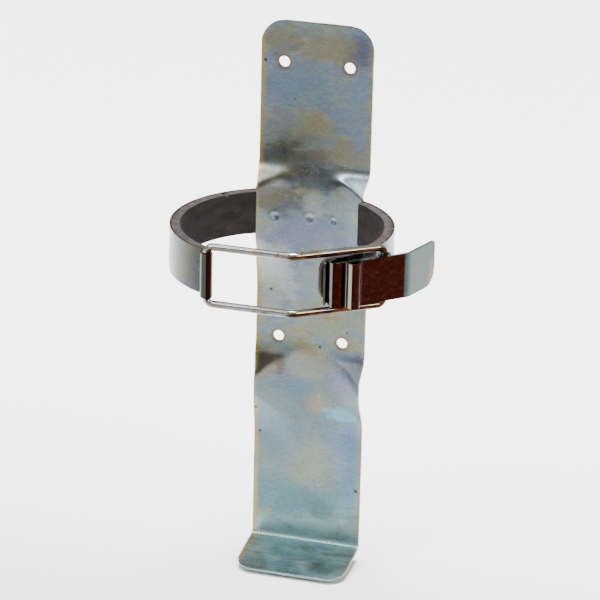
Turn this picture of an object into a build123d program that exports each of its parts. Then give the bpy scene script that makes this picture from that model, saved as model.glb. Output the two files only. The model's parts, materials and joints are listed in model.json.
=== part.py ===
from build123d import *

import math
import os

# Wall bracket for one gas cylinder. A pressed back plate is screwed to the wall, a rubber-lined steel
# strap is spot-welded behind its upper saddle, and a wire bail with an over-centre lever closes the strap.
# Millimetres. X runs right, Y into the wall (the wall is the plane Y = 0) and Z up. Heights are counted from
# the sharp corner where the plate would meet its foot. Each piece is then lowered, so that the origin of the
# finished files lies on the wall at the middle of the four screw holes.

# ---- the cylinder that the bracket takes ----
CYLINDER_DIAMETER = 111.0        # body of the gas cylinder
CYLINDER_PLAY = 0.5              # radial room between the closed lining and the cylinder

# ---- strap and lining ----
STRAP_THICKNESS = 1.2
STRAP_HEIGHT = 25.0
STRAP_LEVEL = 205.0              # middle of the strap above the foot corner
LINING_THICKNESS = 4.5
LINING_CORNER = 7.0              # rounded corners where a lining ends
LINING_LEFT_END = -25.5          # polar angles, from straight out of the wall (-Y) towards +X
LINING_RIGHT_END = 37.5
GLUE_GAP = 0.05
STRAP_WALL_GAP = 0.5             # the strap's back stays this far off the wall
LINING_PLATE_GAP = 0.6           # between the lining's end and the plate's edge

# ---- hooked right end and rolled left end of the strap ----
HOOK_ANGLE = 41.0                # where the strap turns outwards into its hook
HOOK_BEND = 1.5                  # centreline radius of that turn
HOOK_TURN = 50.0                 # the lip flares by this angle, so the nose can leave it outwards
HOOK_RISE = 5.2                  # straight part of the hook's lip
HOOK_CORNER = 3.0
EYE_ANGLE = -22.0                # the bail's hinge
EYE_WRAP = 225.0
EYE_TAIL = 4.9

# ---- back plate ----
PLATE_WIDTH = 65.0
PLATE_HEIGHT = 315.0
PLATE_THICKNESS = 1.5
PLATE_CORNER = 14.0
TRIM = 0.5                       # extra blank beside the plate, cut off by its outline
HOLE_DIAMETER = 6.5
HOLE_SPACING_X = 38.0
HOLE_SPACING_Z = 164.0
HOLE_MARGIN = 24.0               # from the plate's top edge to the upper holes

# ---- the two saddles pressed into the plate ----
SADDLE_NECK = 1.5                # each edge of the plate draws in by this much beside a saddle
FACET_ANGLE = 25.0               # slope of the facets that lead from the flats into a trough
TOP_FACET_ANGLE = 44.0           # the upper saddle's top facets are steeper, so the strap passes behind them
UPPER_SADDLE_TOP = 25.0          # above the strap's middle
UPPER_SADDLE_FOOT = -38.0
LOWER_SADDLE_TOP = 117.0         # above the foot corner
LOWER_SADDLE_FOOT = 77.0
LOWER_TROUGH_RADIUS = 62.0
LOWER_TROUGH_SINK = 1.3          # set back by this much, the lower trough fades into the flat at its middle
SOFT_BEND = 6.0                  # front radius where a flat runs into a facet
CREASE_BEND = 2.0                # back radius of the crease between a facet and its trough
NECK_BEND = 20.0                 # in the outline, where an edge draws in
WELD_DIAMETER = 4.0
WELD_DEPTH = 0.35
WELD_PLACES = (-21.0, -1.5, 13.0)
WELD_LEVEL = -3.5                # below the strap's middle

# ---- foot ----
FOOT_DEPTH = 38.0                # from the wall to the foot's front edge
FOOT_DROOP = 9.0                 # the foot slopes down by this angle
FOOT_BEND = 3.0                  # centreline radius
FOOT_CORNER = 8.0

# ---- wire bail ----
WIRE_DIAMETER = 4.0
HINGE_CLEARANCE = 0.08           # radial, round both legs of the bail
BAIL_PITCH = 32.4                # between the centres of the two long runs
BAIL_CORNER = 3.6
BAIL_KINK = (24.4, 59.3)         # across, and out from the strap's axis
BAIL_KINK_BEND = 9.0

# ---- lever: a link plate with the hooked nose and the rolled eye, and the handle welded on it ----
LATCH_ANGLE = 44.5               # direction that the lever faces, from -Y towards +X
LATCH_HEIGHT = 25.0
LINK_THICKNESS = 1.5
NOSE_GAP = 0.3                   # between the nose and the strap
HOOK_GAP = 0.4                   # between the nose and the hook's lip
NOSE_BEND = 2.7
NOSE_RETURN = 2.0
LATCH_EYE_REACH = 27.7           # along the lever, from the foot of the strap axis to the bail's leg
LATCH_EYE_WRAP = 270.0
LATCH_EYE_TAIL = 1.5
HANDLE_THICKNESS = 1.5
RIDGE_START = 0.9
RIDGE_TOE = 0.4
RIDGE_HEIGHT = 4.5
RIDGE_WALL_ANGLE = 70.0
RIDGE_ROOF = 2.2
RIDGE_SLOPE_ANGLE = 52.0
RIDGE_BEND = 1.2
HANDLE_BEND_REACH = 38.0         # along the lever, where the tip is bent back
HANDLE_BEND = 8.0
TIP_ANGLE = 28.5
TIP_LENGTH = 24.0
TIP_TOP_CORNER = 2.0
TIP_LOWER_CORNER = 9.0

# ---- worked out from the sizes above ----
lining_inner = CYLINDER_DIAMETER / 2 + CYLINDER_PLAY
strap_inner = lining_inner + LINING_THICKNESS
strap_middle = strap_inner + STRAP_THICKNESS / 2
strap_outer = strap_inner + STRAP_THICKNESS
axis_y = -(strap_outer + STRAP_WALL_GAP)
trough_front = strap_inner - GLUE_GAP - PLATE_THICKNESS
wire_radius = WIRE_DIAMETER / 2
eye_bend = wire_radius + HINGE_CLEARANCE + STRAP_THICKNESS / 2
latch_eye_bend = wire_radius + HINGE_CLEARANCE + LINK_THICKNESS / 2
link_middle = strap_outer + NOSE_GAP + LINK_THICKNESS / 2 + 2 * NOSE_BEND
handle_middle = link_middle + (LINK_THICKNESS + HANDLE_THICKNESS) / 2
neck_half = PLATE_WIDTH / 2 - SADDLE_NECK
neck_angle = math.degrees(math.asin(neck_half / trough_front) + LINING_PLATE_GAP / lining_inner)
upper_saddle = (STRAP_LEVEL + UPPER_SADDLE_TOP, STRAP_LEVEL + UPPER_SADDLE_FOOT)
lower_saddle = (LOWER_SADDLE_TOP, LOWER_SADDLE_FOOT)
hook_lean = math.radians(HOOK_ANGLE + HOOK_TURN - LATCH_ANGLE)
hook_reach = (strap_middle + HOOK_BEND) * math.cos(math.radians(HOOK_TURN)) - HOOK_BEND
nose_reach = hook_reach + STRAP_THICKNESS / 2 + HOOK_GAP + LINK_THICKNESS / 2 + NOSE_BEND
nose_inset = ((link_middle - NOSE_BEND) * math.cos(hook_lean) - nose_reach) / math.sin(hook_lean)
strap_axis = Location((0, axis_y, STRAP_LEVEL))
hole_levels = (PLATE_HEIGHT - HOLE_MARGIN - HOLE_SPACING_Z, PLATE_HEIGHT - HOLE_MARGIN)
origin_level = sum(hole_levels) / 2


def polar(radius, angle):
    """Point at an angle from straight out (-Y) towards +X, seen from above, about the strap's axis."""
    turn = math.radians(angle)
    return Vector(radius * math.sin(turn), -radius * math.cos(turn))


def latch_point(along, out):
    """Point of the lever: distance along it, and distance outwards from the strap's axis."""
    turn = math.radians(LATCH_ANGLE)
    across = Vector(math.cos(turn), math.sin(turn)) * along
    return across + Vector(math.sin(turn), -math.cos(turn)) * out


def strip_face(start, heading, moves, thickness):
    """Section of a bent strip: its middle line starts at a point and follows straight and curved moves."""
    point = Vector(start)
    angle = math.radians(heading)
    half = thickness / 2
    left_edges, right_edges = [], []

    def side(at, direction, offset):
        return at + Vector(-math.sin(direction), math.cos(direction)) * offset

    first = (side(point, angle, half), side(point, angle, -half))
    for move in moves:
        if move[0] == "line":
            end = point + Vector(math.cos(angle), math.sin(angle)) * move[1]
            left_edges.append(Line(side(point, angle, half), side(end, angle, half)))
            right_edges.append(Line(side(point, angle, -half), side(end, angle, -half)))
            point = end
            continue
        turn = math.radians(move[2])
        reach = math.copysign(move[1], turn)
        centre = side(point, angle, reach)
        stops = [angle, angle + turn / 2, angle + turn]
        for edges, offset in ((left_edges, half), (right_edges, -half)):
            edges.append(ThreePointArc(*[side(centre, stop, offset - reach) for stop in stops]))
        angle += turn
        point = side(centre, angle, -reach)
    last = (side(point, angle, half), side(point, angle, -half))
    caps = [Line(first[0], first[1]), Line(last[0], last[1])]
    return make_face(left_edges + right_edges + caps)


def upright(face, height):
    """Extrude a plan section to a strip of the given height, centred on the strap's level."""
    return strap_axis * Pos(0, 0, -height / 2) * extrude(face, height)


def saddle_block(z_top, z_foot, top_angle, radius, centre_y, skin):
    """Solid behind one face of a saddle: skin is 0 for the front face, the sheet's thickness for the back."""
    top_slope, foot_slope = math.radians(top_angle), math.radians(FACET_ANGLE)
    top = z_top - skin * math.tan(top_slope / 2)
    foot = z_foot + skin * math.tan(foot_slope / 2)
    rise = (top - foot) / (1 / math.tan(top_slope) + 1 / math.tan(foot_slope))
    face_y = skin - PLATE_THICKNESS
    ridge = (face_y - rise, top - rise / math.tan(top_slope))
    corners = [(face_y, top), ridge, (face_y, foot), (-axis_y, foot), (-axis_y, top)]
    wedge = extrude(Plane.YZ * make_face(Polyline(corners, close=True)), PLATE_WIDTH / 2 + TRIM, both=True)
    return wedge - Pos(0, centre_y, ridge[1]) * Cylinder(radius + skin, 2 * (top - foot))


def plate_block(skin):
    """Everything behind the plate's front face (skin 0) or behind its back face (skin = the sheet)."""
    face_y = skin - PLATE_THICKNESS
    lower_centre = -PLATE_THICKNESS + LOWER_TROUGH_SINK - LOWER_TROUGH_RADIUS
    block = Pos(0, (face_y - axis_y) / 2, PLATE_HEIGHT / 2) * Box(
        PLATE_WIDTH + 2 * TRIM, -axis_y - face_y, 2 * PLATE_HEIGHT)
    block += saddle_block(*upper_saddle, TOP_FACET_ANGLE, trough_front, axis_y, skin)
    block += saddle_block(*lower_saddle, FACET_ANGLE, LOWER_TROUGH_RADIUS, lower_centre, skin)
    for crease in [edge.center() for edge in block.edges().filter_by(GeomType.ELLIPSE)]:
        edge = block.edges().filter_by(GeomType.ELLIPSE).sort_by_distance(crease)[0]
        block = fillet(edge, CREASE_BEND + PLATE_THICKNESS - skin)
    bends = block.edges().filter_by(Axis.X).filter_by_position(Axis.Y, face_y - 0.01, face_y + 0.01)
    return fillet(bends.filter_by_position(Axis.Z, 0, PLATE_HEIGHT), SOFT_BEND + skin)


def plate_outline():
    """The plate seen from the front: round top corners, and edges that draw in beside each saddle."""
    half = PLATE_WIDTH / 2
    run = trough_front - math.sqrt(trough_front ** 2 - neck_half ** 2)
    side = [(half, 0)]
    for (top, foot), top_angle in ((lower_saddle, FACET_ANGLE), (upper_saddle, TOP_FACET_ANGLE)):
        lead = min(run / math.tan(math.radians(FACET_ANGLE)), (top - foot) / 2.5)
        top_lead = min(run / math.tan(math.radians(top_angle)), lead)
        side += [(half, foot), (neck_half, foot + lead), (neck_half, top - top_lead), (half, top)]
    side.append((half, PLATE_HEIGHT))
    face = make_face(Polyline(side + [(-x, z) for x, z in reversed(side)], close=True))
    face = fillet(face.vertices().filter_by_position(Axis.Y, PLATE_HEIGHT - 1, PLATE_HEIGHT + 1), PLATE_CORNER)
    bends = face.vertices().filter_by_position(Axis.Y, 1, PLATE_HEIGHT - PLATE_CORNER - 1)
    return fillet(bends, NECK_BEND)


def make_back_plate():
    """Folded and pressed plate: saddled wall part, sloping foot, four screw holes and three weld dimples."""
    skin = PLATE_THICKNESS
    bend_turn = 90 - FOOT_DROOP
    bend_lead = FOOT_BEND * math.tan(math.radians(bend_turn) / 2)
    start_z = LOWER_SADDLE_FOOT / 2
    slope = math.radians(FOOT_DROOP)
    flange = (FOOT_DEPTH - skin / 2) / math.cos(slope) - bend_lead
    upper = (plate_block(0) - plate_block(skin)) & extrude(Plane.XZ * plate_outline(), strap_outer, both=True)
    upper -= Pos(0, 0, start_z / 2) * Box(2 * PLATE_WIDTH, 2 * strap_outer, start_z)
    section = strip_face((-skin / 2, start_z), -90,
                         [("line", start_z - bend_lead), ("arc", FOOT_BEND, -bend_turn), ("line", flange)], skin)
    foot = Pos(-PLATE_WIDTH / 2, 0, 0) * extrude(Plane.YZ * section, PLATE_WIDTH)
    front = foot.faces().sort_by(Axis.Y)[0]
    foot = fillet([edge for edge in front.edges() if abs(edge.tangent_at(0.5).X) < 0.1], FOOT_CORNER)
    plate = upper + foot
    for side in (-1, 1):
        for level in hole_levels:
            drill = Cylinder(HOLE_DIAMETER / 2, 4 * skin, rotation=(90, 0, 0))
            plate -= Pos(side * HOLE_SPACING_X / 2, 0, level) * drill
    ball = (WELD_DIAMETER ** 2 / 4 + WELD_DEPTH ** 2) / (2 * WELD_DEPTH)
    for place in WELD_PLACES:
        turn = math.asin(place / trough_front)
        reach = trough_front + WELD_DEPTH - ball
        plate -= Pos(reach * math.sin(turn), axis_y + reach * math.cos(turn), STRAP_LEVEL + WELD_LEVEL) * Sphere(ball)
    return plate


def make_strap_band():
    """One strip of steel round the cylinder: a hooked lip at its right end and a rolled eye at its left."""
    lip_outward = polar(1, HOOK_ANGLE + HOOK_TURN - 90)
    lip_side = Vector(-lip_outward.Y, lip_outward.X)
    start = polar(strap_middle + HOOK_BEND, HOOK_ANGLE) - lip_side * HOOK_BEND + lip_outward * HOOK_RISE
    moves = [("line", HOOK_RISE), ("arc", HOOK_BEND, -HOOK_TURN),
             ("arc", strap_middle, 360 + EYE_ANGLE - HOOK_ANGLE), ("arc", eye_bend, -EYE_WRAP), ("line", EYE_TAIL)]
    strap = upright(strip_face(start, HOOK_ANGLE + HOOK_TURN, moves, STRAP_THICKNESS), STRAP_HEIGHT)
    tip = strap_axis.position + start
    lip = strap.faces().sort_by_distance(tip)[0]
    return fillet([edge for edge in lip.edges() if abs(edge.tangent_at(0.5).Z) < 0.1], HOOK_CORNER)


def make_lining(first, last):
    """Rubber glued inside the strap between two polar angles, with rounded corners at both ends."""
    middle = lining_inner + (LINING_THICKNESS - GLUE_GAP) / 2
    section = strip_face(polar(middle, first), first, [("arc", middle, last - first)], LINING_THICKNESS - GLUE_GAP)
    lining = upright(section, STRAP_HEIGHT)
    ends = [lining.faces().sort_by_distance(strap_axis.position + polar(middle, angle))[0] for angle in (first, last)]
    return fillet([edge for end in ends for edge in end.edges() if abs(edge.tangent_at(0.5).Z) < 0.1], LINING_CORNER)


def rounded_run(points, bend_radii):
    """Closed path through points with an arc at each of them."""
    count = len(points)
    arcs = []
    for index, radius in enumerate(bend_radii):
        corner = points[index]
        back = (points[index - 1] - corner).normalized()
        ahead = (points[(index + 1) % count] - corner).normalized()
        half = back.get_angle(ahead) / 2
        lead = radius / math.tan(math.radians(half))
        centre = corner + (back + ahead).normalized() * (radius / math.sin(math.radians(half)))
        middle = centre + (corner - centre).normalized() * radius
        arcs.append((corner + back * lead, middle, corner + ahead * lead))
    edges = []
    for index, arc in enumerate(arcs):
        edges.append(Line(arcs[index - 1][2], arc[0]))
        edges.append(ThreePointArc(*arc))
    return Wire(edges)


def make_wire_bail():
    """Closed loop of round wire: one leg in the strap's eye, the other in the lever's, both runs kinked."""
    hinge = polar(strap_middle + eye_bend, EYE_ANGLE)
    kink = Vector(BAIL_KINK[0], -BAIL_KINK[1])
    far = latch_point(LATCH_EYE_REACH, link_middle - latch_eye_bend)
    rise = Vector(0, 0, BAIL_PITCH / 2)
    points = [hinge - rise, hinge + rise, kink + rise, far + rise, far - rise, kink - rise]
    bends = [BAIL_CORNER, BAIL_CORNER, BAIL_KINK_BEND, BAIL_CORNER, BAIL_CORNER, BAIL_KINK_BEND]
    path = rounded_run(points, bends)
    section = Plane(origin=path @ 0, z_dir=path % 0) * Circle(wire_radius)
    return strap_axis * sweep(section, path=path)


def make_latch_link():
    """Link plate of the lever: a hooked nose that bears on the strap's hook, and a rolled eye for the bail."""
    start = latch_point(NOSE_RETURN - nose_inset, link_middle - 2 * NOSE_BEND)
    moves = [("line", NOSE_RETURN), ("arc", NOSE_BEND, 180), ("line", LATCH_EYE_REACH + nose_inset),
             ("arc", latch_eye_bend, LATCH_EYE_WRAP), ("line", LATCH_EYE_TAIL)]
    # starts on the inner side, runs back to the nose and round it, then out along the lever
    section = strip_face(start, LATCH_ANGLE + 180, moves, LINK_THICKNESS)
    return upright(section, LATCH_HEIGHT)


def make_latch_handle():
    """Handle welded on the link plate: a raised ridge at its left end, a flat grip and a bent-back tip."""
    wall_turn = 1 - math.cos(math.radians(RIDGE_WALL_ANGLE))
    slope_turn = 1 - math.cos(math.radians(RIDGE_SLOPE_ANGLE))
    wall = (RIDGE_HEIGHT - 2 * RIDGE_BEND * wall_turn) / math.sin(math.radians(RIDGE_WALL_ANGLE))
    slope = (RIDGE_HEIGHT - 2 * RIDGE_BEND * slope_turn) / math.sin(math.radians(RIDGE_SLOPE_ANGLE))
    ridge = [("line", RIDGE_TOE), ("arc", RIDGE_BEND, -RIDGE_WALL_ANGLE), ("line", wall),
             ("arc", RIDGE_BEND, RIDGE_WALL_ANGLE), ("line", RIDGE_ROOF), ("arc", RIDGE_BEND, RIDGE_SLOPE_ANGLE),
             ("line", slope), ("arc", RIDGE_BEND, -RIDGE_SLOPE_ANGLE)]
    spans = [RIDGE_TOE, RIDGE_ROOF, wall * math.cos(math.radians(RIDGE_WALL_ANGLE)),
             slope * math.cos(math.radians(RIDGE_SLOPE_ANGLE)),
             2 * RIDGE_BEND * math.sin(math.radians(RIDGE_WALL_ANGLE)),
             2 * RIDGE_BEND * math.sin(math.radians(RIDGE_SLOPE_ANGLE))]
    grip = HANDLE_BEND_REACH - RIDGE_START - sum(spans)
    moves = ridge + [("line", grip), ("arc", HANDLE_BEND, TIP_ANGLE), ("line", TIP_LENGTH)]
    section = strip_face(latch_point(RIDGE_START, handle_middle), LATCH_ANGLE, moves, HANDLE_THICKNESS)
    handle = upright(section, LATCH_HEIGHT)
    tip = handle.faces().sort_by(Axis.Y)[-1]
    corners = [edge for edge in tip.edges() if abs(edge.tangent_at(0.5).Z) < 0.1]
    corners.sort(key=lambda edge: edge.center().Z)
    handle = fillet(corners[0], TIP_LOWER_CORNER)
    top = [edge for edge in handle.edges() if (edge.center() - corners[1].center()).length < 0.01]
    return fillet(top, TIP_TOP_CORNER)


parts = {
    "back_plate": make_back_plate(),
    "strap_band": make_strap_band(),
    "lining_left": make_lining(180 + neck_angle, 360 + LINING_LEFT_END),
    "lining_right": make_lining(LINING_RIGHT_END, 180 - neck_angle),
    "wire_bail": make_wire_bail(),
    "latch_link": make_latch_link(),
    "latch_handle": make_latch_handle(),
}
os.makedirs("parts", exist_ok=True)
for name, shape in parts.items():
    export_step(Pos(0, 0, -origin_level) * shape, f"parts/{name}.step")
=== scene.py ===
# %% [markdown]
# # A wall bracket for a gas cylinder
#
# The bracket is a pressed steel plate, a rubber-lined strap, a wire bail and an over-centre lever. Its exact
# shapes were drawn in CAD and arrive here as the frame. Blender's work is the look of it: the passivated
# zinc, the worn rubber, the light and the camera. We start by loading the frame and keeping its box.

# %% Load the frame
import json
import math
import bpy
from mathutils import Matrix, Vector

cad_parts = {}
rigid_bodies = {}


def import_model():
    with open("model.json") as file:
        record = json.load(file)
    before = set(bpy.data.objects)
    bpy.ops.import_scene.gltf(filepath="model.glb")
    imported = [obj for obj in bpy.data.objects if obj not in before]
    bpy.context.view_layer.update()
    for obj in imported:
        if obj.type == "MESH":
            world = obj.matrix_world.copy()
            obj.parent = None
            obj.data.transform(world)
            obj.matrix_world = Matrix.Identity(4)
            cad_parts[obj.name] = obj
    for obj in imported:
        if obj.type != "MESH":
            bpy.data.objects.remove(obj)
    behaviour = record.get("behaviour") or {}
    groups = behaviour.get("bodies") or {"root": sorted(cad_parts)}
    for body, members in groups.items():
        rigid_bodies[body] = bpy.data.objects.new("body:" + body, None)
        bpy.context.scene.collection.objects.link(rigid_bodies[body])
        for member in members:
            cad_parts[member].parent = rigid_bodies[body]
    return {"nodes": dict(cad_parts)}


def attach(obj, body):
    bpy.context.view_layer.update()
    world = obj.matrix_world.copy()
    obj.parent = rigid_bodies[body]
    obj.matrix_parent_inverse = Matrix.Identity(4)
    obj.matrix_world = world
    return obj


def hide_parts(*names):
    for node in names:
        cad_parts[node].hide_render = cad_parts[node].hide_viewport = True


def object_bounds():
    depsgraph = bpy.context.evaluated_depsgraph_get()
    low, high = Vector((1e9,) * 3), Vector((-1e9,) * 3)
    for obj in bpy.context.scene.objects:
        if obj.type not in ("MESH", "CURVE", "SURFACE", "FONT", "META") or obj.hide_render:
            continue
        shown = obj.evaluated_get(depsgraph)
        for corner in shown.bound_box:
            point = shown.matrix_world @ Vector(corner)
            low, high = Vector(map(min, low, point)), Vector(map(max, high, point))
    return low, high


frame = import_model()
cad_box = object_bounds()
scene = bpy.context.scene
nodes = frame["nodes"]
bpy.ops.object.select_all(action="DESELECT")
print("nodes:", sorted(nodes))
print("box:", [tuple(round(v, 4) for v in corner) for corner in cad_box])

# %% [markdown]
# ## The camera
#
# A product picture is taken from far away with a long lens, so that the bracket's sides stay nearly parallel.
# The camera stands about 1.8 m off, a little to the right and above, and is tilted by a degree or two. We
# build its three axes as vectors, because that says plainly which way it looks and how it is rolled.

# %% Camera
turn, lift, roll = math.radians(16.097), math.radians(20.568), math.radians(1.46)
look_at, distance = Vector((0, 0, -0.0561)), 1.7884
lens, sensor, shift_x, shift_y = 187.48, 36, -0.0198, -0.0059
back = Vector((math.sin(turn) * math.cos(lift), -math.cos(turn) * math.cos(lift), math.sin(lift)))
level = Vector((math.cos(turn), math.sin(turn), 0))
upward = back.cross(level)
right = level * math.cos(roll) + upward * math.sin(roll)
up = upward * math.cos(roll) - level * math.sin(roll)
camera_data = bpy.data.cameras.new("studio_camera")
camera_data.lens = lens
camera_data.sensor_width = sensor
camera_data.shift_x = shift_x
camera_data.shift_y = shift_y
camera_data.clip_end = 50
camera = bpy.data.objects.new("studio_camera", camera_data)
scene.collection.objects.link(camera)
axes = Matrix((right, up, back)).transposed().to_4x4()
camera.matrix_world = Matrix.Translation(look_at + back * distance) @ axes
scene.camera = camera
print("camera at", tuple(round(v, 3) for v in camera.location), "lens", camera_data.lens)

# %% [markdown]
# ## Floor and light
#
# The floor is a wide pale disc just under the foot. Bare metal shows what is around it more than its own
# colour, so the lamps are large soft panels: one on the right, one high on the left that catches the pressed
# facets, and one above. A last one with a narrow spread lights only the floor behind, to a clean white.

# %% Floor
def plain_material(name, colour, roughness):
    """A material of one colour, for the studio's own things."""
    made = bpy.data.materials.new(name)
    made.use_nodes = True
    shader = made.node_tree.nodes["Principled BSDF"]
    shader.inputs["Base Color"].default_value = (*colour, 1)
    shader.inputs["Roughness"].default_value = roughness
    return made


floor_radius, floor_gap = 12, 0.002
bpy.ops.mesh.primitive_circle_add(vertices=64, radius=floor_radius, fill_type="NGON",
                                  location=(0, 0, cad_box[0].z - floor_gap))
floor = bpy.context.object
floor.name = "studio_floor"
floor.data.materials.append(plain_material("studio_white", (0.92, 0.92, 0.92), 0.8))
print("floor at", round(floor.location.z, 4))


# %% Lamps and world
def panel(name, place, aim, size, power, spread=180):
    """A soft rectangular lamp at a place, turned towards a point. Spread is in degrees."""
    data = bpy.data.lights.new(name, "AREA")
    data.shape = "RECTANGLE"
    data.size, data.size_y = size
    data.energy = power
    data.spread = math.radians(spread)
    lamp = bpy.data.objects.new(name, data)
    scene.collection.objects.link(lamp)
    lamp.location = place
    lamp.rotation_euler = (Vector(aim) - Vector(place)).to_track_quat("-Z", "Y").to_euler()
    print("lamp", name, power, "W")


middle = (0, -0.05, -0.05)
panel("key_right", (1.3, -0.9, 0.7), middle, (0.6, 0.9), 16)
panel("high_left", (-0.9, -1.1, 1.2), middle, (0.8, 0.6), 22)
panel("top", (0, -0.15, 1.6), middle, (1.1, 0.5), 10)
panel("floor_wash", (0, 0.85, 1.9), (0, 0.85, -0.2), (2.2, 1.9), 58, 24)
world = bpy.data.worlds.new("studio_world")
world.use_nodes = True
world.node_tree.nodes["Background"].inputs["Color"].default_value = (1, 1, 1, 1)
world.node_tree.nodes["Background"].inputs["Strength"].default_value = 0.6
scene.world = world

# %% [markdown]
# ## The pressed plate
#
# The CAD plate has the exact sizes, with bends that are the same all along. A real pressing is softer: the
# die pulls the sheet into a saddle at both edges, while the middle hardly moves and the bends fade out. We
# start from a flat grid, as the press starts from a flat blank, and move its points with one function of
# place. Smooth minimum and maximum join flat, facets and trough, and their radius says how soft a bend is.

# %% Sizes of the plate, in millimetres
PLATE_TOP, FOOT_CORNER = 106.0, -209.0
HALF_WIDTH, NECK_HALF, SHEET = 32.5, 31.0, 1.5
TOP_ROUND, FOOT_ROUND = 14.0, 11.0
STRAP_AXIS, STRAP_MIDDLE = -62.2, -4.0
UPPER = {"top": 21.0, "foot": -42.0, "radius": 58.95, "steep": (16, 45)}
LOWER = {"top": -92.0, "foot": -132.0, "radius": 62.0, "steep": (25, 27)}
FOOT_SLOPE = math.radians(9)
BEND_RADIUS, BEND_START = 2.25, 2.562
FOOT_RUN = 35.15
HOLE_SIDE, HOLE_LEVEL, HOLE_RADIUS = 19, 82, 3.25
WELDS = ((-21.0, 2.5), (-1.5, 2.4), (13.0, 1.9))
WELD_LEVEL, WELD_DEPTH, WELD_RIM = -7.5, 0.75, 0.16
# Painted light on the plate: shade in the creases, a dark reflection on the lower left facet, a pale-gold reflection on
# the upper left facet and highlights on the two right facets.
PAINTED_LIGHT_MARKS = ("crease", "facet_low_dark_reflection", "facet_left_reflection", "facet_right_highlight", "facet_blue_highlight")


# %% Smooth steps and corners
def ease(value, low, high):
    """0 below low, 1 above high, smooth between."""
    part = min(1, max(0, (value - low) / (high - low)))
    return part * part * (3 - 2 * part)


def soft_less(first, second, radius):
    """The smaller of two numbers, rounded where they meet."""
    near = max(radius - abs(first - second), 0) / radius
    return min(first, second) - near * near * radius / 4


def soft_more(first, second, radius):
    """The larger of two numbers, rounded where they meet."""
    return -soft_less(-first, -second, radius)


# %% The plate's front face
def slopes(x, z, form):
    """The trough and the top slope of a saddle at a place. The slope is steeper near the plate's edges."""
    slope = math.radians(form["steep"][0] + (form["steep"][1] - form["steep"][0]) * ease(abs(x), 5, 21))
    return STRAP_AXIS + math.sqrt(form["radius"] ** 2 - x * x), -SHEET - (form["top"] - z) * math.tan(slope)


def saddle(x, z, form, crease):
    """How far out the front face lies in one saddle: the trough, cut off by its top and foot slopes."""
    trough, top = slopes(x, z, form)
    foot = -SHEET - (z - form["foot"]) * math.tan(math.radians(8 + 17 * ease(abs(x), 6, 24)))
    return soft_more(trough, soft_more(top, foot, 2), crease)


def plate_face(x, z):
    """The plate's front face, in millimetres out of the wall (negative Y), at a place across and up."""
    fade_in = 1 - ease(abs(x), 8, 20)  # 1 in the middle, where every crease fades out
    upper = saddle(x, z, UPPER, 2.2 - ease(x, -8, 8) + 2.4 * fade_in)
    lower = saddle(x, z, LOWER, 0.9 + 3.1 * ease(x, -8, 8))
    face = soft_less(-SHEET, soft_less(upper, lower, 0.1), 5.6 - 2.2 * ease(x, -6, 6) + 0.4 * fade_in)
    for place, radius in WELDS:
        gap = math.hypot(x - place, z - WELD_LEVEL) / radius
        face += WELD_DEPTH * max(0, 1 - gap * gap) ** 2 - WELD_RIM * math.exp(-((gap - 1.25) / 0.28) ** 2)
    return face


def painted_facet_and_crease_light(x, z):
    """How strong each mark is at a place, from 0 to 1: painted shade in the creases, then painted reflections and
    highlights on the four facets.
    """
    marks = dict.fromkeys(PAINTED_LIGHT_MARKS, 0)
    for form, left_facet, right_facet in ((UPPER, "facet_left_reflection", "facet_right_highlight"), (LOWER, "facet_low_dark_reflection", "facet_blue_highlight")):
        if not form["foot"] < z < form["top"] + 1:
            continue
        trough, top = slopes(x, z, form)
        facet = left_facet if x < 0 else right_facet
        depth = ease(-SHEET - top, -0.2, 1.0)
        # Painted light over each facet: reflections on the left ones, highlights on the right ones.
        marks[facet] = max(marks[facet], ease(top - trough, -0.1, 1.0) * depth * ease(abs(x), 9, 16))
        if facet != "facet_blue_highlight":
            wide = 1.7 if facet == "facet_left_reflection" else 0.9
            # Painted shade along the crease, wider on the left.
            crease_shade = math.exp(-((trough - top) / wide) ** 2) * ease(abs(x), 7, 14) * depth
            marks["crease"] = max(marks["crease"], crease_shade)
    return marks


def half_width(z):
    """Half the plate's width: round top corners, and edges that draw in beside each saddle."""
    half = HALF_WIDTH
    for form, lead in ((UPPER, 10), (LOWER, 16)):
        inside = ease(z, form["foot"] + 2, form["foot"] + 20) * (1 - ease(z, form["top"] - lead, form["top"] + 1))
        half -= (HALF_WIDTH - NECK_HALF) * inside
    over = z - (PLATE_TOP - TOP_ROUND)
    if over > 0:
        half -= TOP_ROUND - math.sqrt(max(0, TOP_ROUND ** 2 - over * over))
    return half


# %% [markdown]
# ## From a grid to a sheet
#
# Sheet metal has a front face, a back face one thickness behind it, and edges that are broken a little. A grid
# gives the front face, Solidify adds the back and Bevel breaks the edges. The plate and both rubber linings
# are made with the same two functions.

# %% A sheet from a grid
def sheet_from_grid(name, places, thickness):
    """A grid whose points are moved to places[row][column], given a thickness behind its front face."""
    rows, columns = len(places), len(places[0])
    bpy.ops.object.select_all(action="DESELECT")
    bpy.ops.mesh.primitive_grid_add(x_subdivisions=columns - 1, y_subdivisions=rows - 1, size=1)
    piece = bpy.context.object
    piece.name = piece.data.name = name
    flat = [value / 1000 for row in places for place in row for value in place]
    piece.data.vertices.foreach_set("co", flat)
    wall = piece.modifiers.new("thickness", "SOLIDIFY")
    wall.thickness = thickness / 1000
    wall.offset = 1
    wall.use_even_offset = True
    bpy.ops.object.modifier_apply(modifier=wall.name)
    return piece


def finish_edges(piece, width):
    """Break the edges that are sharper than 50 degrees, and smooth the shading."""
    edges = piece.modifiers.new("edges", "BEVEL")
    edges.width = width / 1000
    edges.segments = 2
    edges.limit_method = "ANGLE"
    edges.angle_limit = math.radians(50)
    bpy.ops.object.modifier_apply(modifier=edges.name)
    bpy.ops.object.shade_smooth_by_angle(angle=math.radians(35))


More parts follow.
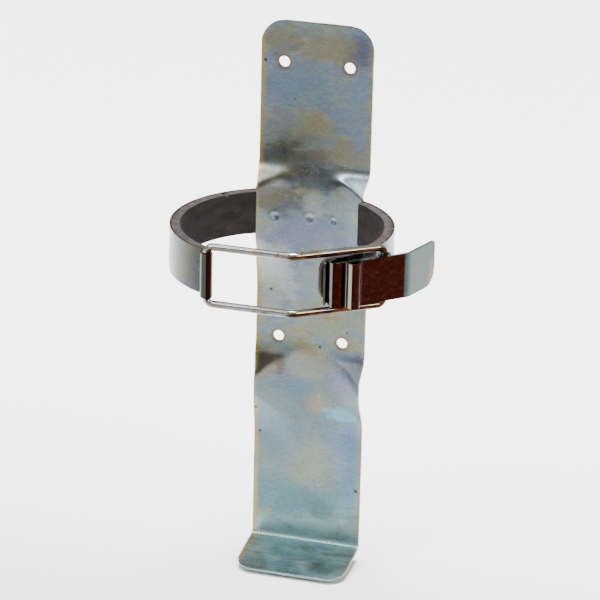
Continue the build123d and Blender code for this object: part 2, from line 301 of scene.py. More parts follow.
def spread(start, end, step):
    """Numbers from start to just before end, about one step apart."""
    count = max(1, round(abs(end - start) / step))
    return [start + (end - start) * i / count for i in range(count)]


# %% [markdown]
# ## The plate's grid
#
# Rows lie close together where the sheet bends and at the dimples, and far apart where it is flat. Below the
# straight part come nine rows round the foot's bend, and then the foot with its round front corners.

# %% The plate's grid
COLUMNS, BEND_ROWS = 119, 9
END_GAP = 0.001  # the first and last rows stop this short of the edge
STEPS = ((106, 92, 0.8), (92, 30, 2), (30, -3, 0.7), (-3, -12, 0.42), (-12, -46, 1.1), (-46, -86, 2),
         (-86, -136, 0.9), (-136, FOOT_CORNER + BEND_START, 2))
levels = [value for start, end, step in STEPS for value in spread(start, end, step)]
levels.append(FOOT_CORNER + BEND_START)
levels[0] = PLATE_TOP - END_GAP
across = [-1 + 2 * i / (COLUMNS - 1) for i in range(COLUMNS)]
places = []
for z in levels:
    half = half_width(z)
    places.append([(u * half, plate_face(u * half, z), z) for u in across])
for row in range(1, BEND_ROWS + 1):
    turn_by = (math.pi / 2 - FOOT_SLOPE) * row / BEND_ROWS
    y = -SHEET - BEND_RADIUS * (1 - math.cos(turn_by))
    z = FOOT_CORNER + BEND_START - BEND_RADIUS * math.sin(turn_by)
    places.append([(u * HALF_WIDTH, y, z) for u in across])
corner_y, corner_z = places[-1][0][1:]
round_from = FOOT_RUN - FOOT_ROUND
for run in spread(1.4, round_from, 1.4) + spread(round_from, FOOT_RUN, 0.6) + [FOOT_RUN - END_GAP]:
    over = max(0, run - round_from)
    half = HALF_WIDTH - FOOT_ROUND + math.sqrt(FOOT_ROUND ** 2 - over * over)
    places.append([(u * half, corner_y - run * math.cos(FOOT_SLOPE), corner_z - run * math.sin(FOOT_SLOPE))
                   for u in across])
plate = sheet_from_grid("pressed_plate", places, SHEET)
print("plate grid:", len(places), "rows of", len(across), "points")

# %% [markdown]
# ## Screw holes, and the painted light of creases and facets
#
# The four holes are punched through the plate, so here four round bars are joined and cut out with one
# Boolean. After that the edges are broken, and each point keeps how strongly it gets painted shade in the
# creases and painted reflections and highlights on the facets: the plate's material reads these numbers by
# name.

# %% Screw holes
bpy.ops.object.select_all(action="DESELECT")
for x in (-HOLE_SIDE, HOLE_SIDE):
    for z in (-HOLE_LEVEL, HOLE_LEVEL):
        bpy.ops.mesh.primitive_cylinder_add(vertices=40, radius=HOLE_RADIUS / 1000, depth=0.01,
                                            location=(x / 1000, 0, z / 1000), rotation=(math.pi / 2, 0, 0))
        bpy.context.object.name = f"drill_{x}_{z}"
for piece in scene.objects:
    piece.select_set(piece.name.startswith("drill_"))
bpy.ops.object.join()
drills = bpy.context.object
bpy.ops.object.select_all(action="DESELECT")
bpy.context.view_layer.objects.active = plate
plate.select_set(True)
cut = plate.modifiers.new("holes", "BOOLEAN")
cut.object = drills
cut.operation = "DIFFERENCE"
cut.solver = "EXACT"
bpy.ops.object.modifier_apply(modifier=cut.name)
bpy.data.objects.remove(drills)
finish_edges(plate, 0.22)

# %% Where the creases and facets get painted light
marks = [painted_facet_and_crease_light(point.co.x * 1000, point.co.z * 1000) for point in plate.data.vertices]
for name in PAINTED_LIGHT_MARKS:
    layer = plate.data.attributes.new(name, "FLOAT", "POINT")
    layer.data.foreach_set("value", [mark[name] for mark in marks])
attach(plate, "bracket")
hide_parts("back_plate")
print("plate:", len(plate.data.polygons), "faces")

# %% [markdown]
# ## The rubber linings
#
# Each lining is a length of rubber sheet glued inside the strap. It butts square against the plate, and its
# free end has round corners. It is the same kind of piece as the plate, a grid bent round an axis and
# thickened, with a small nick in the top edge of the left one, where a cylinder has dragged on it.

# %% Linings
LINING_OUTER, LINING_THICK, LINING_HALF, LINING_CORNER = 60.45, 4.45, 12.4, 7.0
LINING_STEPS, LEVELS = 150, (-1, -0.9, -0.6, -0.3, 0, 0.3, 0.6, 0.9, 1)
NICK_ANGLE, NICK_DEPTH = -129.5, 1.3


def lining(name, free_end, plate_end, node_name):
    """One lining between two polar angles, counted from straight out of the wall towards the right."""
    angles = [free_end + (plate_end - free_end) * i / LINING_STEPS for i in range(LINING_STEPS + 1)]
    rows = []
    for angle in angles:
        run = abs(math.radians(angle - free_end)) * LINING_OUTER
        under = max(0, LINING_CORNER - run)
        half = LINING_HALF - LINING_CORNER + math.sqrt(max(0.0001, LINING_CORNER ** 2 - under * under))
        nick = NICK_DEPTH * math.exp(-((angle - NICK_ANGLE) / 0.8) ** 2)
        turned = math.radians(angle)
        x, y = LINING_OUTER * math.sin(turned), STRAP_AXIS - LINING_OUTER * math.cos(turned)
        rows.append([(x, y, STRAP_MIDDLE + u * half - (nick if u > 0 else 0) * u) for u in LEVELS])
    if free_end < 0:
        rows = [row[::-1] for row in rows]
    made = sheet_from_grid(name, rows, LINING_THICK)
    finish_edges(made, 0.5)
    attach(made, "bracket")
    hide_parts(node_name)
    print(name, "has", len(made.data.polygons), "faces, box", [round(v * 1000, 1) for v in made.dimensions])
    return made


left_rubber = lining("rubber_left", -25.5, -147.9, "lining_left")
right_rubber = lining("rubber_right", 37.5, 147.9, "lining_right")

# %% [markdown]
# ## Small helpers for materials
#
# Every finish is a graph of nodes, and a few helpers keep the graphs readable. One adds a node and fills its
# inputs, and the others stand on it: arithmetic, a smooth fade, a noise pattern, a list of colours looked up by
# a value, and two colours mixed. All of them work in the piece's own coordinates.

# %% Node helpers
def node(tree, kind, settings=None, **inputs):
    """Add a node, set its options, then fill its inputs with values or links. Input names use _ for spaces."""
    made = tree.nodes.new(kind)
    for key, value in (settings or {}).items():
        setattr(made, key, value)
    for key, value in inputs.items():
        socket = made.inputs[int(key[1:])] if key[1:].isdigit() else made.inputs[key.replace("_", " ")]
        if isinstance(value, bpy.types.NodeSocket):
            tree.links.new(value, socket)
        else:
            socket.default_value = value
    return made


def math_of(tree, operation, first, second=0.0, third=0.0):
    """One Math node's result."""
    return node(tree, "ShaderNodeMath", {"operation": operation}, i0=first, i1=second, i2=third).outputs[0]


def fade(tree, value, low, high, to_low=0.0, to_high=1.0):
    """Value mapped smoothly from low..high to another range."""
    return node(tree, "ShaderNodeMapRange", {"interpolation_type": "SMOOTHSTEP"}, Value=value, From_Min=low,
                From_Max=high, To_Min=to_low, To_Max=to_high).outputs[0]


def pattern(tree, vector, scale, detail=3.0, rough=0.5, distortion=0.0):
    """Noise at a scale, in features per metre."""
    return node(tree, "ShaderNodeTexNoise", None, Vector=vector, Scale=scale, Detail=detail, Roughness=rough,
                Distortion=distortion).outputs["Fac"]


def colours(tree, value, stops):
    """Value looked up in a list of (place, colour)."""
    made = node(tree, "ShaderNodeValToRGB", None, Fac=value)
    made.color_ramp.interpolation = "EASE"
    ramp = made.color_ramp.elements
    ramp.remove(ramp[1])
    ramp[0].position = stops[0][0]
    ramp[0].color = (*stops[0][1], 1)
    for place, colour in stops[1:]:
        ramp.new(place).color = (*colour, 1)
    return made.outputs["Color"]


def blend(tree, factor, first, second, mode="MIX"):
    """Two colours mixed by a factor."""
    made = node(tree, "ShaderNodeMix", {"data_type": "RGBA", "blend_type": mode})
    for socket, value in ((made.inputs[0], factor), (made.inputs[6], first), (made.inputs[7], second)):
        if isinstance(value, bpy.types.NodeSocket):
            tree.links.new(value, socket)
        else:
            socket.default_value = value if isinstance(value, float) else (*value, 1)
    return made.outputs[2]


def start(name, metallic, roughness):
    """A new material: its node tree and its shader."""
    made = plain_material(name, (0.5, 0.5, 0.5), roughness)
    shader = made.node_tree.nodes["Principled BSDF"]
    shader.inputs["Metallic"].default_value = metallic
    return made, made.node_tree, shader


def place_of(tree):
    """The point on the piece, in its own coordinates, and the way its surface faces."""
    made = node(tree, "ShaderNodeTexCoord")
    return made.outputs["Object"], made.outputs["Normal"]


def stretched(tree, vector, scale, turn=(0, 0, 0), move=(0, 0, 0)):
    """Coordinates scaled, turned and moved by a Mapping node."""
    return node(tree, "ShaderNodeMapping", None, Vector=vector, Scale=scale, Rotation=turn, Location=move).outputs[0]


def split(tree, vector):
    """The three numbers of a vector."""
    return node(tree, "ShaderNodeSeparateXYZ", None, Vector=vector).outputs


# %% [markdown]
# ## Passivated zinc on the plate
#
# Bright zinc is dipped in a chromate bath, which leaves a film a fraction of a wavelength thick. Where the
# film is thicker it looks gold, then blue, then violet, so the plate is a grey metal with clouds of colour.
# Two noises, one broad and one stretched sideways like draining marks, give the film. Named stains with
# ragged borders are laid over it, and rings of gold stay round the screw holes and along the edges. Some
# stains are painted light: shade over the bend above the upper saddle and along its left crease, highlights
# on its facets, a dark reflection at the tip of the lower left facet, and a lighter band above the foot's
# bend that lifts the foot's dark reflection.

# %% Film on the plate
def film_clouds(tree, vector, stretch, scale):
    """The film's thickness as a number from 0 to 1: broad clouds broken up by smaller ones."""
    broad = pattern(tree, vector, scale, 2.0, 0.45, 0.6)
    small = pattern(tree, stretched(tree, vector, stretch), scale * 3.2, 5.0, 0.62, 0.8)
    return math_of(tree, "ADD", math_of(tree, "MULTIPLY", broad, 0.5), math_of(tree, "MULTIPLY", small, 0.5))


FILM = ((0.34, (0.24, 0.21, 0.12)), (0.42, (0.24, 0.25, 0.18)), (0.48, (0.20, 0.25, 0.23)),
        (0.53, (0.16, 0.22, 0.27)), (0.58, (0.17, 0.20, 0.27)), (0.64, (0.24, 0.27, 0.25)), (0.74, (0.27, 0.24, 0.14)))


def zinc_bump(tree, vector, fine, strength):
    """Slight unevenness of rolled and dipped sheet, as a bumped normal."""
    grain = pattern(tree, stretched(tree, vector, (1, 1, 0.3)), fine, 3.0, 0.55)
    return node(tree, "ShaderNodeBump", None, Height=grain, Strength=strength, Distance=0.0003).outputs[0]


def grained(tree, film, grain):
    """A colour made lighter and darker by one number."""
    grey = node(tree, "ShaderNodeCombineXYZ", None, X=grain, Y=grain, Z=grain).outputs[0]
    return blend(tree, 1.0, film, grey, "MULTIPLY")


def stain(tree, film, spot, ragged, place, reach, colour, strength):
    """Lay one stain over the film: an ellipse across x and z, in metres, with a ragged border."""
    x, z = place
    shifted = stretched(tree, spot, (1 / reach[0], 0, 1 / reach[1]), (0, 0, 0), (-x / reach[0], 0, -z / reach[1]))
    far = node(tree, "ShaderNodeVectorMath", {"operation": "LENGTH"}, i0=shifted).outputs["Value"]
    cover = fade(tree, math_of(tree, "ADD", far, ragged), 0.55, 1.35, strength, 0.0)
    return blend(tree, cover, film, colour)


BLUE, STEEL_BLUE, VIOLET = (0.15, 0.21, 0.32), (0.13, 0.18, 0.24), (0.19, 0.20, 0.29)
OLIVE, GOLD = (0.20, 0.18, 0.11), (0.34, 0.26, 0.13)
# The middle colour here is painted shade, for the bend above the upper saddle.
GREY_BROWN, SADDLE_BEND_SHADE, PALE = (0.14, 0.12, 0.09), (0.09, 0.09, 0.085), (0.34, 0.36, 0.34)
STAINS = (  # place, reach, colour, strength
    ((0.000, -0.150), (0.060, 0.060), (0.11, 0.165, 0.18), 0.68),
    ((0.000, -0.178), (0.050, 0.015), (0.10, 0.165, 0.18), 0.65),
    ((-0.012, 0.072), (0.022, 0.016), STEEL_BLUE, 0.75), ((0.025, 0.092), (0.010, 0.011), (0.09, 0.10, 0.15), 0.8),
    ((0.006, 0.093), (0.018, 0.010), OLIVE, 0.75), ((-0.020, 0.094), (0.012, 0.010), GREY_BROWN, 0.5),
    ((0.024, 0.050), (0.006, 0.030), BLUE, 0.55), ((-0.010, 0.042), (0.025, 0.014), OLIVE, 0.45),
    # Painted shade: the first stain here darkens the bend above the upper saddle, left of the middle.
    ((-0.016, 0.026), (0.024, 0.010), SADDLE_BEND_SHADE, 0.75), ((0.016, 0.030), (0.016, 0.010), OLIVE, 0.55),
    # Painted shade: the first stain here darkens the bend above the upper saddle in the middle. Painted highlight: the
    # pale stain after it, on the upper saddle's left facet.
    ((0.000, 0.016), (0.016, 0.007), SADDLE_BEND_SHADE, 0.6), ((-0.025, 0.012), (0.009, 0.007), PALE, 0.75),
    # Painted highlight, blue-white, on the upper saddle's right facet.
    ((0.026, 0.010), (0.008, 0.009), (0.26, 0.31, 0.34), 0.7),
    # Painted shade along the left crease of the upper saddle.
    ((-0.021, 0.003), (0.015, 0.010), (0.075, 0.064, 0.050), 0.62),
    ((-0.004, 0.000), (0.008, 0.006), (0.12, 0.11, 0.09), 0.4),
    # Painted highlight: the first stain here, blue, on the upper saddle's right facet.
    ((0.018, 0.000), (0.010, 0.007), (0.22, 0.30, 0.36), 0.5), ((0.001, 0.000), (0.006, 0.008), PALE, 0.55),
    ((0.000, -0.018), (0.026, 0.008), VIOLET, 0.7), ((-0.022, -0.045), (0.012, 0.022), PALE, 0.55),
    ((0.010, -0.046), (0.020, 0.016), (0.26, 0.29, 0.30), 0.5), ((-0.027, -0.100), (0.009, 0.009), OLIVE, 0.7),
    # Painted dark reflection: the grey-brown stain here, at the tip of the lower saddle's left facet.
    ((-0.017, -0.098), (0.003, 0.007), GREY_BROWN, 0.9), ((0.022, -0.103), (0.010, 0.015), VIOLET, 0.6),
    ((0.020, -0.092), (0.012, 0.005), BLUE, 0.6), ((-0.002, -0.098), (0.011, 0.010), (0.27, 0.27, 0.22), 0.55),
    ((0.022, -0.126), (0.012, 0.0035), (0.15, 0.32, 0.38), 0.85),
    ((-0.020, -0.128), (0.016, 0.012), (0.17, 0.23, 0.26), 0.5), ((0.004, -0.120), (0.007, 0.007), GOLD, 0.4),
    ((0.019, -0.152), (0.007, 0.018), BLUE, 0.5), ((0.002, -0.163), (0.016, 0.018), (0.23, 0.225, 0.165), 0.5),
    ((-0.017, -0.150), (0.009, 0.018), (0.11, 0.18, 0.24), 0.5),
    ((0.026, -0.160), (0.004, 0.040), (0.10, 0.17, 0.28), 0.55),
    ((-0.006, -0.112), (0.009, 0.006), (0.12, 0.18, 0.25), 0.4),
    ((-0.008, -0.184), (0.032, 0.012), (0.072, 0.150, 0.170), 0.7),
    # Partly painted light: this pale teal band lifts the dark reflection of the foot just above the bend.
    ((0.004, -0.204), (0.044, 0.010), (0.20, 0.34, 0.36), 0.8))
SPECKS = (  # place across, place up, radius
    (-0.030, 0.082, 0.0011), (-0.0315, 0.003, 0.0008), (0.021, -0.022, 0.0010), (-0.024, -0.054, 0.0010),
    (0.006, -0.086, 0.0009), (-0.031, -0.127, 0.0010), (-0.029, -0.143, 0.0008), (0.030, -0.173, 0.0011),
    (0.022, -0.075, 0.0006), (-0.012, 0.061, 0.0005))
# Colours of the painted light: a dark reflection on the lower left facet, highlights on the two right facets, a
# pale-gold reflection on the upper left facet, shade in the creases.
PAINTED_LIGHT_COLOURS = (
    ("facet_low_dark_reflection", (0.060, 0.055, 0.040), 0.9), ("facet_blue_highlight", (0.42, 0.49, 0.56), 0.95),
    ("facet_left_reflection", (0.17, 0.175, 0.13), 0.75), ("facet_right_highlight", (0.22, 0.31, 0.38), 0.8),
    ("crease", (0.060, 0.048, 0.036), 0.8))
FOOT_FILM = ((0.32, (0.13, 0.12, 0.11)), (0.42, (0.14, 0.20, 0.20)), (0.52, (0.19, 0.27, 0.26)),
             (0.60, (0.12, 0.21, 0.24)), (0.70, (0.21, 0.26, 0.21)))
RING, WARM_EDGE, SPECK = (0.20, 0.12, 0.06), (0.33, 0.25, 0.09), (0.04, 0.03, 0.025)


# %% Plate finish
def plate_finish():
    """Satin passivated zinc with gold rings at the holes, warm edges, stains and dark specks; painted shade in the
    creases and above the upper saddle, painted reflections and highlights on the facets, and a painted lightening above
    the foot's bend.
    """
    made, tree, shader = start("plate_zinc", 1.0, 0.36)
    spot, _ = place_of(tree)
    x, y, z = split(tree, spot)
    film = colours(tree, film_clouds(tree, spot, (0.45, 1, 1.6), 30), FILM)
    torn = pattern(tree, stretched(tree, spot, (0.6, 1, 1.5)), 160, 5.0, 0.65)
    ragged = math_of(tree, "MULTIPLY", math_of(tree, "SUBTRACT", torn, 0.5), 2.2)
    for place, reach, colour, strength in STAINS:
        film = stain(tree, film, spot, ragged, place, reach, colour, strength)
    # Painted light from the marks: shade in the creases, reflections and highlights on the facets.
    for name, colour, strength in PAINTED_LIGHT_COLOURS:
        mark = node(tree, "ShaderNodeAttribute", {"attribute_name": name}).outputs["Fac"]
        film = blend(tree, math_of(tree, "MULTIPLY", mark, strength), film, colour)
    streaks = pattern(tree, stretched(tree, spot, (0.35, 1.6, 1)), 90, 5.0, 0.6, 0.5)
    foot_film = colours(tree, streaks, FOOT_FILM)
    on_foot = math_of(tree, "MULTIPLY", fade(tree, y, -0.0040, -0.0075), fade(tree, z, -0.190, -0.200))
    film = blend(tree, on_foot, film, foot_film)
    across_plate = math_of(tree, "ABSOLUTE", x)
    from_hole_x = math_of(tree, "SUBTRACT", across_plate, HOLE_SIDE / 1000)
    from_hole_z = math_of(tree, "SUBTRACT", math_of(tree, "ABSOLUTE", z), HOLE_LEVEL / 1000)
    gap = math_of(tree, "SQRT", math_of(tree, "ADD", math_of(tree, "POWER", from_hole_x, 2.0),
                                        math_of(tree, "POWER", from_hole_z, 2.0)))
    ring = math_of(tree, "MULTIPLY", fade(tree, gap, 0.0034, 0.0055, 1.0, 0.0), 0.85)
    film = blend(tree, ring, film, RING)
    left_more = fade(tree, x, -0.02, 0.02, 0.95, 0.35)
    patchy = math_of(tree, "MULTIPLY", left_more, fade(tree, pattern(tree, spot, 60, 3.0), 0.25, 0.55))
    edge = math_of(tree, "MULTIPLY", fade(tree, across_plate, 0.0285, 0.0318), patchy)
    film = blend(tree, edge, film, WARM_EDGE)
    for speck_x, speck_z, radius in SPECKS:
        film = stain(tree, film, spot, math_of(tree, "MULTIPLY", ragged, 0.4), (speck_x, speck_z),
                     (radius, radius), SPECK, 0.85)
    grain = fade(tree, pattern(tree, stretched(tree, spot, (0.5, 1, 1.3)), 900, 3.0, 0.7), 0.3, 0.7, 0.87, 1.09)
    film = grained(tree, film, grain)
    tree.links.new(film, shader.inputs["Base Color"])
    tree.links.new(fade(tree, pattern(tree, spot, 70, 4.0), 0.35, 0.68, 0.27, 0.42), shader.inputs["Roughness"])
    tree.links.new(zinc_bump(tree, spot, 300, 0.15), shader.inputs["Normal"])
    return made


# %% [markdown]
# ## The strap and the painted brown reflection
#
# The strap, the wire and the lever are smoother than the plate and mirror the room. Their red-brown is mostly
# a painted reflection of something brown on the right, laid on the side that faces right, forward and a little
# down. It follows the way a surface faces, so it breaks off at every bend and leaves the rolled edges bright.

# %% The painted brown reflection
# The painted brown reflection goes on surfaces that face this way: right, forward and a little down.
BROWN_REFLECTION_TURN = math.radians(42)
BROWN_REFLECTION_FACING = Vector((math.sin(BROWN_REFLECTION_TURN), -math.cos(BROWN_REFLECTION_TURN), -0.26)).normalized()
BROWN_REFLECTION, BROWN_REFLECTION_PALE = (0.018, 0.0030, 0.0014), (0.034, 0.008, 0.0045)


def brown_reflection_share(tree, facing, start_at, full_at, wander):
    """How much of the painted brown reflection is on a surface, from the way it faces."""
    towards = node(tree, "ShaderNodeVectorMath", {"operation": "DOT_PRODUCT"}, i0=facing,
                   i1=tuple(BROWN_REFLECTION_FACING)).outputs["Value"]
    return fade(tree, math_of(tree, "ADD", towards, wander), start_at, full_at)


# %% Strap
STRAP_FILM = (
    (0.33, (0.092, 0.076, 0.038)), (0.43, (0.076, 0.076, 0.048)), (0.49, (0.058, 0.071, 0.060)),
    (0.54, (0.062, 0.067, 0.080)), (0.60, (0.080, 0.077, 0.060)), (0.67, (0.053, 0.066, 0.075)),
    (0.75, (0.092, 0.068, 0.036)))


def strap_finish():
    """Glossy zinc, pale gold to blue, with a painted brown reflection on the rolled eye where it faces right and
    forward.
    """
    made, tree, shader = start("strap_zinc", 1.0, 0.2)
    spot, facing = place_of(tree)
    across_ring = split(tree, spot)[0]
    film = colours(tree, film_clouds(tree, spot, (1, 1, 0.6), 34), STRAP_FILM)
    near_eye = colours(tree, pattern(tree, spot, 75, 4.0, 0.55), (
        (0.38, (0.066, 0.054, 0.028)), (0.48, (0.055, 0.054, 0.038)), (0.56, (0.040, 0.052, 0.062))))
    film = blend(tree, fade(tree, across_ring, -0.030, -0.050, 0.0, 0.85), film, near_eye)
    grain = fade(tree, pattern(tree, stretched(tree, spot, (1, 1, 2)), 700, 3.0, 0.7), 0.3, 0.7, 0.82, 1.12)
    film = grained(tree, film, grain)
    at_eye = math_of(tree, "MULTIPLY", fade(tree, across_ring, -0.0285, -0.0255), fade(tree, across_ring, 0.0, -0.01))
    # Painted brown reflection on the rolled eye, where it faces right, forward and a little down.
    film = blend(tree, math_of(tree, "MULTIPLY", at_eye, brown_reflection_share(tree, facing, 0.80, 0.88, 0.0)), film, BROWN_REFLECTION)
    tree.links.new(film, shader.inputs["Base Color"])
    tree.links.new(fade(tree, pattern(tree, spot, 90, 4.0), 0.35, 0.7, 0.14, 0.3), shader.inputs["Roughness"])
    tree.links.new(zinc_bump(tree, spot, 300, 0.12), shader.inputs["Normal"])
    return made


# %% [markdown]
# ## The wire
#
# Drawn wire is smoother than rolled sheet, so its zinc is the brightest of all. The film is cream on the right
# half of the bail and cooler on the left, and the side facing right and forward gets the painted brown
# reflection of the lever.

# %% Wire
def wire_finish():
    """Glossy zinc wire: cream on the right, cooler on the left, and a painted red-brown reflection on its side facing
    right and forward.
    """
    made, tree, shader = start("wire_zinc", 1.0, 0.12)
    spot, facing = place_of(tree)
    noise = pattern(tree, spot, 130, 3.0)
    wander = math_of(tree, "MULTIPLY", math_of(tree, "SUBTRACT", noise, 0.5), 0.25)
    film = colours(tree, film_clouds(tree, spot, (1, 1, 1), 55), (
        (0.36, (0.32, 0.27, 0.12)), (0.46, (0.40, 0.38, 0.26)), (0.54, (0.34, 0.37, 0.40)), (0.64, (0.34, 0.26, 0.13))))
    cool = colours(tree, noise, ((0.38, (0.42, 0.42, 0.50)), (0.60, (0.40, 0.41, 0.38))))
    film = blend(tree, fade(tree, split(tree, spot)[0], -0.004, 0.004, 0.7, 0.0), film, cool)
    # Painted red-brown reflection on the side of the wire that faces right, forward and a little down.
    brown = colours(tree, noise, ((0.35, BROWN_REFLECTION), (0.65, (0.10, 0.035, 0.012))))
    film = blend(tree, brown_reflection_share(tree, facing, 0.66, 0.84, wander), film, brown)
    tree.links.new(film, shader.inputs["Base Color"])
    tree.links.new(fade(tree, pattern(tree, spot, 120, 3.0), 0.4, 0.7, 0.08, 0.2), shader.inputs["Roughness"])
    return made


# %% [markdown]
# ## The lever
#
# The lever is the piece a hand works, and its colours change from bend to bend. To place them, the material
# measures two lengths at each point: how far along the lever it is, and how far out from the strap's axis. The
# painted shade and highlights of the ridge's wall, the painted highlights on its heel and on the curl at the bail,
# and the painted golden highlight on the tip are then bands between two such lengths.

# %% Lever
LEVER_TURN = math.radians(44.5)
LATCH_FILM = (
    (0.38, (0.078, 0.055, 0.018)), (0.45, (0.050, 0.064, 0.042)), (0.51, (0.036, 0.060, 0.064)),
    (0.56, (0.058, 0.062, 0.048)), (0.62, (0.038, 0.054, 0.066)), (0.70, (0.080, 0.050, 0.016)))
# Painted light on the ridge, from its foot up: a light-blue highlight, painted shade on its wall, a cream highlight on
# its top.
RIDGE_SHADE_AND_HIGHLIGHTS = (
    (0.04, (0.20, 0.24, 0.28)), (0.13, (0.006, 0.012, 0.014)), (0.48, (0.008, 0.016, 0.018)),
    (0.62, (0.36, 0.33, 0.20)), (0.95, (0.42, 0.38, 0.25)))
# The scratch colour is real wear; the other two are painted highlights, on the link's curl and on up-facing surfaces.
SCRATCH, CURL_HIGHLIGHT, UPWARD_HIGHLIGHT = (0.20, 0.10, 0.075), (0.24, 0.24, 0.22), (0.17, 0.25, 0.24)
# Both are painted highlights: golden on the tip's lower corner, pinkish on the ridge's heel.
TIP_HIGHLIGHT, HEEL_HIGHLIGHT = (0.22, 0.12, 0.04), (0.20, 0.155, 0.145)


def along_lever(tree, vector):
    """Distance along the lever, and out from the strap's axis, in metres."""
    x, y, _ = split(tree, vector)
    y = math_of(tree, "ADD", y, -STRAP_AXIS / 1000)
    along = math_of(tree, "ADD", math_of(tree, "MULTIPLY", x, math.cos(LEVER_TURN)),
                    math_of(tree, "MULTIPLY", y, math.sin(LEVER_TURN)))
    out = math_of(tree, "SUBTRACT", math_of(tree, "MULTIPLY", x, math.sin(LEVER_TURN)),
                  math_of(tree, "MULTIPLY", y, math.cos(LEVER_TURN)))
    return along, out


def latch_finish():
    """Glossy zinc: the lever's outer face gets a painted dark red-brown reflection, and its tip and bends are bright,
    with painted highlights on the curl, the ridge, the heel, the up-facing edges and the tip, and painted shade on the
    ridge's wall.
    """
    made, tree, shader = start("latch_zinc", 1.0, 0.16)
    spot, facing = place_of(tree)
    noise = pattern(tree, stretched(tree, spot, (1, 1, 1.6)), 300, 6.0, 0.7)
    wander = math_of(tree, "MULTIPLY", math_of(tree, "SUBTRACT", noise, 0.5), 0.04)
    film = colours(tree, film_clouds(tree, spot, (1, 1, 1), 60), LATCH_FILM)
    # Painted brown reflection, mottled, with real scratches laid over it.
    brown = colours(tree, noise, ((0.42, BROWN_REFLECTION), (0.72, BROWN_REFLECTION_PALE)))
    scratch = pattern(tree, stretched(tree, spot, (1, 1, 5), (0.5, 0.3, 0.4)), 420, 6.0, 0.75)
    brown = blend(tree, math_of(tree, "MULTIPLY", fade(tree, scratch, 0.64, 0.74), 0.5), brown, SCRATCH)
    along, out = along_lever(tree, spot)
    outward = node(tree, "ShaderNodeVectorMath", {"operation": "DOT_PRODUCT"}, i0=facing,
                   i1=(math.sin(LEVER_TURN), -math.cos(LEVER_TURN), 0)).outputs["Value"]
    faces_out = fade(tree, outward, 0.0, 0.1)
    # Painted highlight on the link's curl, in place of its dark reflection.
    curl = math_of(tree, "MULTIPLY", fade(tree, along, -0.0002, 0.0006, 1.0, 0.0), fade(tree, out, 0.060, 0.062))
    film = blend(tree, curl, film, CURL_HIGHLIGHT)
    # Painted highlight on surfaces that face up.
    film = blend(tree, fade(tree, split(tree, facing)[2], 0.5, 0.9), film, UPWARD_HIGHLIGHT)
    # Painted golden highlight, in patches, on the lower corner of the tip.
    tip_highlight = math_of(tree, "MULTIPLY", fade(tree, along, 0.056, 0.062), fade(tree, noise, 0.42, 0.55))
    tip_highlight = math_of(tree, "MULTIPLY", tip_highlight, fade(tree, split(tree, spot)[2], 0.002, -0.010))
    film = blend(tree, math_of(tree, "MULTIPLY", tip_highlight, 0.8), film, TIP_HIGHLIGHT)
    # Painted shade on the ridge's wall, with painted highlights at its foot and top, on faces that look outward.
    wall = colours(tree, fade(tree, out, 0.0703, 0.0740), RIDGE_SHADE_AND_HIGHLIGHTS)
    ridge = math_of(tree, "MULTIPLY", fade(tree, along, 0.0008, 0.0012), fade(tree, along, 0.0034, 0.0038, 1.0, 0.0))
    ridge = math_of(tree, "MULTIPLY", ridge, fade(tree, out, 0.0700, 0.0702))
    ridge = math_of(tree, "MULTIPLY", ridge, faces_out)
    film = blend(tree, ridge, film, wall)
    # Painted pinkish highlight across the ridge's heel, on faces that look outward.
    heel = math_of(tree, "MULTIPLY", fade(tree, along, 0.0078, 0.0086), fade(tree, along, 0.0112, 0.0118, 1.0, 0.0))
    film = blend(tree, math_of(tree, "MULTIPLY", heel, faces_out), film, HEEL_HIGHLIGHT)
    before_tip = fade(tree, along, 0.0372, 0.0380, 1.0, 0.0)
    # Painted brown reflection on the faces turned right and forward, stopping short of the tip.
    film = blend(tree, math_of(tree, "MULTIPLY", brown_reflection_share(tree, facing, 0.66, 0.74, wander), before_tip), film, brown)
    tree.links.new(film, shader.inputs["Base Color"])
    tree.links.new(fade(tree, pattern(tree, spot, 150, 4.0), 0.4, 0.7, 0.10, 0.26), shader.inputs["Roughness"])
    return made


# %% [markdown]
# ## Rubber
#
# The lining is grey rubber sheet. Its inner face has gone dark and slightly mauve, its cut edges are paler,
# and it is worn through to reddish brown in patches.

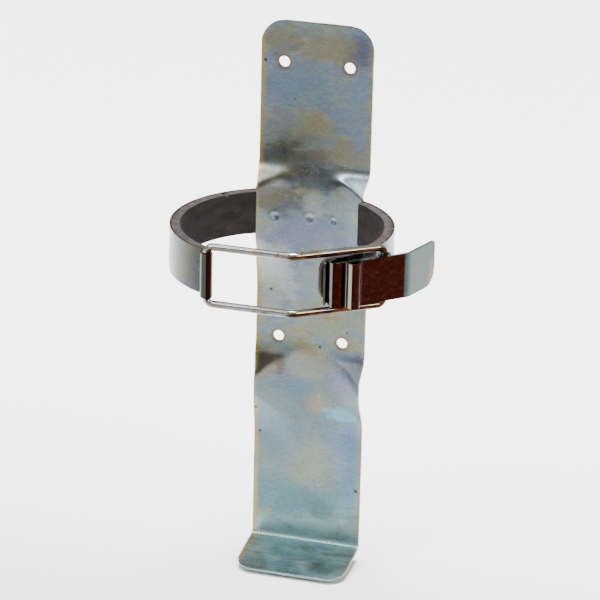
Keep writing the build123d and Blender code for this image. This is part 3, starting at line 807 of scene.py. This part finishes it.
# %% Lining
def lining_finish():
    """Matt grey rubber, paler on its cut edges and worn in patches."""
    made, tree, shader = start("lining_rubber", 0.0, 0.75)
    shader.inputs["Specular IOR Level"].default_value = 0.25
    spot, facing = place_of(tree)
    grain = pattern(tree, spot, 900, 4.0, 0.7)
    tone = colours(tree, pattern(tree, stretched(tree, spot, (1, 1, 2.5)), 90, 5.0, 0.65), (
        (0.35, (0.0075, 0.0050, 0.0050)), (0.65, (0.0165, 0.0122, 0.0125))))
    worn = math_of(tree, "MULTIPLY", fade(tree, pattern(tree, spot, 110, 4.0, 0.6), 0.60, 0.68), 0.6)
    tone = blend(tree, worn, tone, (0.045, 0.018, 0.013))
    rim = fade(tree, math_of(tree, "ABSOLUTE", split(tree, facing)[2]), 0.4, 0.8)
    rim_tone = colours(tree, pattern(tree, spot, 260, 4.0), (
        (0.35, (0.028, 0.022, 0.020)), (0.65, (0.055, 0.047, 0.042))))
    tone = blend(tree, rim, tone, rim_tone)
    tree.links.new(tone, shader.inputs["Base Color"])
    bump = node(tree, "ShaderNodeBump", None, Height=grain, Strength=0.35, Distance=0.0003)
    tree.links.new(bump.outputs[0], shader.inputs["Normal"])
    return made


# %% [markdown]
# ## Dressing
#
# Each finish is made once and worn by every piece of that metal or rubber. The CAD nodes that were replaced
# get it too, so that nothing is left bare.

# %% Dress every piece
def dress(piece, material):
    """Put one material on all slots of a piece."""
    if not piece.material_slots:
        piece.data.materials.append(material)
    for place in piece.material_slots:
        place.material = material
    print(piece.name, "wears", material.name, "with", len(material.node_tree.nodes), "nodes")


plate_zinc, latch_zinc, lining_rubber = plate_finish(), latch_finish(), lining_finish()
dress(plate, plate_zinc)
dress(nodes["back_plate"], plate_zinc)
dress(nodes["strap_band"], strap_finish())
dress(nodes["wire_bail"], wire_finish())
for piece in (nodes["latch_link"], nodes["latch_handle"]):
    dress(piece, latch_zinc)
for piece in (left_rubber, right_rubber, nodes["lining_left"], nodes["lining_right"]):
    dress(piece, lining_rubber)

# %% [markdown]
# ## Finish

# %% Finish
print("finished")
